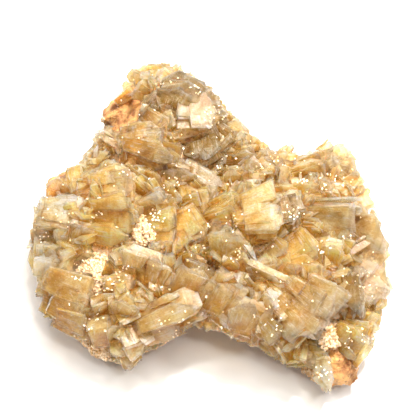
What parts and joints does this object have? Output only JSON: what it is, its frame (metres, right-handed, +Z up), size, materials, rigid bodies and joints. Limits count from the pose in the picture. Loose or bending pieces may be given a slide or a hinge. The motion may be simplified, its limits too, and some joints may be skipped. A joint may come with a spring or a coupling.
{
  "type": "stilbite specimen",
  "caption": "Hand specimen of stilbite: a lobed plate of rock covered in honey-coloured, fanned blade crystals, resting on a small flat spot underneath.",
  "frame": {"origin": "centre of the flat resting spot under the specimen", "axes": "+Z up, away from the surface it rests on; +X to the right of the view in the picture; -Y to the viewer"},
  "size_m": [0.1073, 0.1138, 0.0333],
  "materials": {
    "matrix_rock": "rough broken host rock with rust stains",
    "stilbite": "vitreous to pearly translucent honey crystal"
  },
  "bodies": {
    "root": {"matrix": "matrix_rock", "crystals": "stilbite"}
  },
  "joints": []
}
